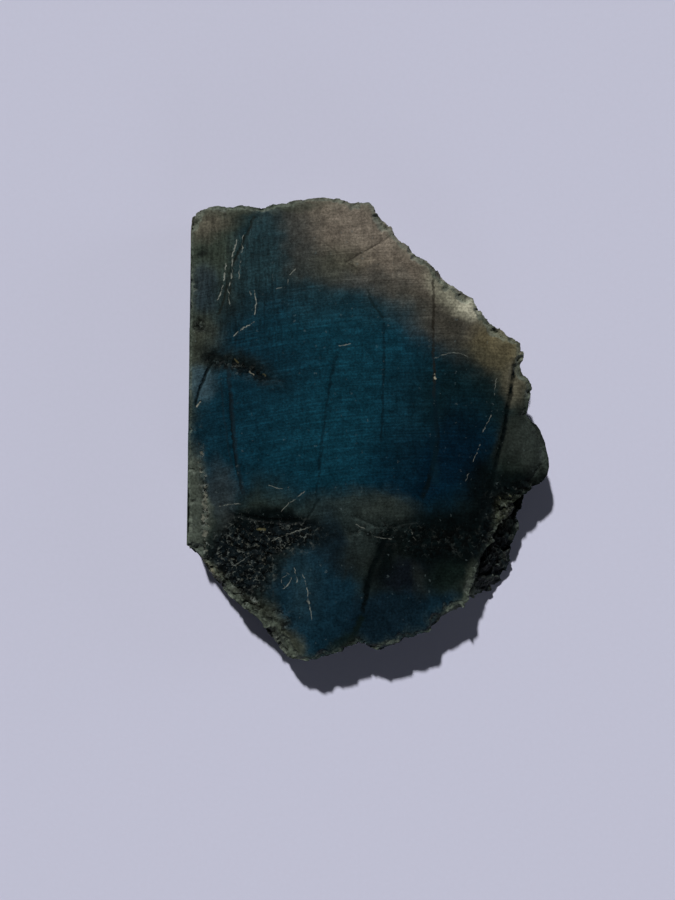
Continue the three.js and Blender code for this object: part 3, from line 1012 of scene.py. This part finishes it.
def lined_colour(nodes, place, face_place, sawn, colour):
    """The colour with the veins laid over it, and then the scratches, which come and go along
    their length."""
    line_tree = line_group()
    line_place = shaken(nodes, face_place, *LINE_WANDER, 2.0)
    line_place = measured(nodes, shaken(nodes, line_place, *LINE_JITTER, 1.0))
    patchy = nodes.noise(place, 0.75, 2.0)
    full = nodes.ramp(patchy, 0.32, 0.6, 0.6, 1.0)
    colour = drawn_lines(nodes, VEINS, line_place, line_tree, full, colour)
    broken_off = nodes.math("MULTIPLY", nodes.ramp(patchy, 0.36, 0.54), sawn)
    return drawn_lines(nodes, SCRATCHES, line_place, line_tree, broken_off, colour)


def chalky_colour(nodes, place, chalk, light, colour):
    """The colour with painted glints (small light flecks), bright chips and chalky crust laid
    over it, and where the chips are."""
    # Painted highlight: small light flecks stand in for glints of light on tiny cleavage faces
    painted_glints = nodes.math("MULTIPLY", flecks(nodes, place, GLINT_SIZE, 0.6), GLINT_SHARE)
    colour = nodes.colours(painted_glints, colour, tint("painted_glints"))
    chips = flecks(nodes, place, CHIP_SPACING, 0.3)
    colour = nodes.colours(nodes.math("MULTIPLY", chips, chalk), colour, tint("chalk"))
    edge = nodes.math("MULTIPLY_ADD", chalk, -0.2, 0.66)
    crust = nodes.ramp(nodes.noise(place, 0.85, 4.0, 0.65), edge,
                       nodes.math("ADD", edge, 0.07))
    crust = nodes.math("MULTIPLY", crust, nodes.ramp(chalk, 0.1, 0.5, 0.0, 0.85))
    crust_colour = nodes.vector("SCALE", tint("crust"), scale=light)
    return nodes.colours(crust, colour, crust_colour), chips


def broken_colour(nodes, place, grain, broken, proud, rim, colour):
    """The colour with the broken faces laid over it, each facet greyer and of its own
    brightness, with light crushed ridges, and a painted glow on the thin rim for light coming
    through the stone."""
    bright = nodes.vector("DOT_PRODUCT", colour, BRIGHTNESS)
    grey = nodes.colours(nodes.ramp(bright, 0.006, 0.03, 0.04, 0.5), colour,
                         tint("broken_grey"))
    _, lot = random_cells(nodes, shaken(nodes, place, 3.0, 1.0), 0.5)
    grey = nodes.vector("SCALE", grey, scale=nodes.ramp(lot[0], 0, 1, 0.6, 1.5))
    pale = nodes.ramp(bright, 0.004, 0.03, 0.25, 1.0)
    ridge = nodes.ramp(nodes.math("MULTIPLY_ADD", grain, 1.2, proud), 0.75, 1.5, 0.0, 0.55)
    grey = nodes.colours(nodes.math("MULTIPLY", ridge, pale), grey, tint("broken_light"))
    colour = nodes.colours(broken, colour, grey)
    # Painted light: a paler colour on the thin rim stands in for light coming through the stone
    thin = nodes.math("MULTIPLY", rim, nodes.ramp(grain, 0.35, 0.65, 0.15, RIM_GLOW_SHARE))
    return nodes.colours(nodes.math("MULTIPLY", thin, pale), colour, tint("painted_rim_glow"))


def stone_colour(nodes, place, face_place, broken, proud, rim, settings):
    """The colour of the stone, and what the relief and the roughness are made from."""
    cover = patch_group()
    sawn = nodes.math("SUBTRACT", 1.0, broken)
    colour = patchwork(nodes, face_place, cover)
    light, mottle, grain, saw = stone_light(
        nodes, place, face_place, sawn, cover, settings)
    colour = nodes.vector("SCALE", colour, scale=light)
    crumble, chalk = crumbled(nodes, face_place, cover)
    colour, far = crumbled_colour(nodes, place, mottle, crumble, chalk, colour)
    colour = lined_colour(nodes, place, face_place, sawn, colour)
    colour, chips = chalky_colour(nodes, place, chalk, light, colour)
    colour = broken_colour(nodes, place, grain, broken, proud, rim, colour)
    pits = nodes.math("MULTIPLY", nodes.math("MAXIMUM", crumble, broken), far)
    return colour, mottle, grain, saw, pits, chips


def stone_material(settings):
    material = bpy.data.materials.new("Labradorite, sawn and broken")
    material.use_nodes = True
    nodes = Nodes(material.node_tree)
    place, face_place = stone_places(nodes)
    broken, proud, rim = (
        nodes.add("ShaderNodeAttribute", attribute_name=name).outputs["Fac"]
        for name in ("broken", "proud", "rim"))
    colour, mottle, grain, saw, pits, chips = stone_colour(
        nodes, place, face_place, broken, proud, rim, settings)
    rough = nodes.math("MULTIPLY_ADD", broken,
                       settings.broken_roughness - settings.sawn_roughness,
                       settings.sawn_roughness)
    rough = nodes.math("MULTIPLY_ADD", nodes.math("SUBTRACT", mottle, 0.5), 0.3, rough)
    rough = nodes.math("MULTIPLY_ADD", chips, -0.15, rough)
    height = nodes.math("MULTIPLY_ADD", saw, 0.06, nodes.math("MULTIPLY", grain, 0.07))
    height = nodes.math("MULTIPLY_ADD", pits, -0.14, height)
    bump = nodes.add("ShaderNodeBump", inputs={"Height": height, "Distance": MM}).outputs[0]
    shader = nodes.add("ShaderNodeBsdfPrincipled", inputs={
        "Base Color": colour, "Roughness": rough, "Normal": bump,
        "IOR": 1.56, "Specular IOR Level": 0.03})
    nodes.add("ShaderNodeOutputMaterial", inputs={"Surface": shader.outputs[0]})
    return material


def sheet_material(settings):
    material = bpy.data.materials.new("Pale sheet")
    material.use_nodes = True
    nodes = Nodes(material.node_tree)
    coordinates = nodes.add("ShaderNodeTexCoord").outputs["Object"]
    fibre = nodes.noise(coordinates, 900.0, 3.0, 0.6)
    colour = nodes.vector("SCALE", tuple(settings.sheet_colour),
                          scale=nodes.ramp(fibre, 0.0, 1.0, 0.985, 1.015))
    bump = nodes.add("ShaderNodeBump", inputs={
        "Height": fibre, "Distance": 0.01 * MM, "Strength": 0.5}).outputs[0]
    shader = nodes.add("ShaderNodeBsdfPrincipled", inputs={
        "Base Color": colour, "Roughness": 0.9, "Normal": bump, "Specular IOR Level": 0.0})
    nodes.add("ShaderNodeOutputMaterial", inputs={"Surface": shader.outputs[0]})
    return material


# ---------------------------------------------------------------------------------------------
# The stage
# ---------------------------------------------------------------------------------------------

def make_sheet(settings):
    mesh = bpy.data.meshes.new(FLOOR)
    work = bmesh.new()
    bmesh.ops.create_grid(work, x_segments=1, y_segments=1, size=settings.sheet_size / 2)
    bmesh.ops.translate(work, verts=work.verts, vec=(0.0, 0.0, CAD_BOX[0][2]))
    work.to_mesh(mesh)
    work.free()
    sheet = bpy.data.objects.new(FLOOR, mesh)
    bpy.context.scene.collection.objects.link(sheet)
    sheet.data.materials.append(sheet_material(settings))


def make_sun(name, strength, softness, height, turn, colour):
    """A distant light at that height, turned from +Y towards -X."""
    light = bpy.data.lights.new(name, "SUN")
    light.energy = strength
    light.angle = softness
    light.color = colour
    sun = bpy.data.objects.new(name, light)
    flat = math.cos(height)
    way = Vector((-math.sin(turn) * flat, math.cos(turn) * flat, math.sin(height)))
    sun.rotation_euler = way.to_track_quat("Z", "Y").to_euler()
    bpy.context.scene.collection.objects.link(sun)


WARM_WHITE = (1.0, 0.985, 0.96)
COOL_WHITE = (0.86, 0.9, 1.0)
FILL_SOFTNESS = math.radians(25)
FILL_HEIGHT = math.radians(4)
FILL_TURNS = {"Front fill": math.radians(195), "Right fill": math.radians(280)}
BACKDROP = (0.515, 0.52, 0.638, 1.0)


def make_sky(settings):
    """An even cool light from all round, seen by the camera as a pale backdrop."""
    world = bpy.data.worlds.new("Studio")
    bpy.context.scene.world = world
    world.use_nodes = True
    nodes = Nodes(world.node_tree)
    light = nodes.add("ShaderNodeBackground", inputs={
        "Color": (*COOL_WHITE, 1.0), "Strength": settings.sky_strength}).outputs[0]
    backdrop = nodes.add("ShaderNodeBackground", inputs={"Color": BACKDROP}).outputs[0]
    seen = nodes.add("ShaderNodeLightPath").outputs["Is Camera Ray"]
    mixed = nodes.add("ShaderNodeMixShader")
    nodes.feed(mixed.inputs[0], seen)
    nodes.feed(mixed.inputs[1], light)
    nodes.feed(mixed.inputs[2], backdrop)
    nodes.add("ShaderNodeOutputWorld", inputs={"Surface": mixed.outputs[0]})


CAMERA_OFFSET = (-7.25 * MM, -5.0 * MM)  # of the camera's axis from the middle of the slab
VIEW_LENGTH = 0.216  # of the view along Y, measured on the slab's upper face
SENSOR = 36.0  # mm


def make_camera(settings):
    """A camera that looks straight down on the slab, with the slab's +Y at the top."""
    camera = bpy.data.cameras.new("Camera")
    camera.sensor_width = SENSOR
    camera.lens = SENSOR * (settings.camera_height - SLAB_HIGH[2]) / VIEW_LENGTH
    camera.clip_start = 0.005
    camera.clip_end = 100.0
    camera.dof.use_dof = False
    viewer = bpy.data.objects.new("Camera", camera)
    viewer.location = (*CAMERA_OFFSET, settings.camera_height)
    bpy.context.scene.collection.objects.link(viewer)
    bpy.context.scene.camera = viewer


# ---------------------------------------------------------------------------------------------
# The add-on
# ---------------------------------------------------------------------------------------------

class LABRADORITE_OT_stone(bpy.types.Operator):
    """Make the labradorite slab around the frame's solid"""
    bl_idname = "labradorite.stone"
    bl_label = "Make the stone"

    def execute(self, context):
        settings = context.scene.labradorite_stone
        piece = make_stone_mesh(settings)
        piece.data.materials.clear()
        piece.data.materials.append(stone_material(settings))
        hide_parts(NODE)
        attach(piece, "root")
        return {"FINISHED"}


class LABRADORITE_OT_stage(bpy.types.Operator):
    """Make the pale sheet, the lights and the camera"""
    bl_idname = "labradorite.stage"
    bl_label = "Make the stage"

    def execute(self, context):
        settings = context.scene.labradorite_stage
        context.scene.view_settings.view_transform = "Standard"
        make_sheet(settings)
        make_sky(settings)
        make_sun("Key", settings.key_strength, settings.key_softness,
                 settings.key_height, settings.key_turn, WARM_WHITE)
        for name, turn in FILL_TURNS.items():
            make_sun(name, settings.fill_strength, FILL_SOFTNESS, FILL_HEIGHT, turn, COOL_WHITE)
        make_camera(settings)
        return {"FINISHED"}


class LABRADORITE_PT_panel(bpy.types.Panel):
    """Lists what can be made and what can be changed"""
    bl_label = "Labradorite slab"
    bl_idname = "LABRADORITE_PT_panel"
    bl_space_type = "VIEW_3D"
    bl_region_type = "UI"
    bl_category = "Labradorite"

    def draw(self, context):
        layout = self.layout
        for operator, group in (
                (LABRADORITE_OT_stone, context.scene.labradorite_stone),
                (LABRADORITE_OT_stage, context.scene.labradorite_stage)):
            box = layout.box()
            for name in group.bl_rna.properties.keys():
                if name not in ("rna_type", "name"):
                    box.prop(group, name)
            box.operator(operator.bl_idname)


CLASSES = (
    StoneSettings,
    StageSettings,
    LABRADORITE_OT_stone,
    LABRADORITE_OT_stage,
    LABRADORITE_PT_panel,
)


def register():
    for each in CLASSES:
        bpy.utils.register_class(each)
    bpy.types.Scene.labradorite_stone = bpy.props.PointerProperty(type=StoneSettings)
    bpy.types.Scene.labradorite_stage = bpy.props.PointerProperty(type=StageSettings)


def unregister():
    del bpy.types.Scene.labradorite_stage
    del bpy.types.Scene.labradorite_stone
    for each in reversed(CLASSES):
        bpy.utils.unregister_class(each)


def main():
    register()
    bpy.ops.labradorite.stage()
    bpy.ops.labradorite.stone()


if __name__ == "__main__":
    main()
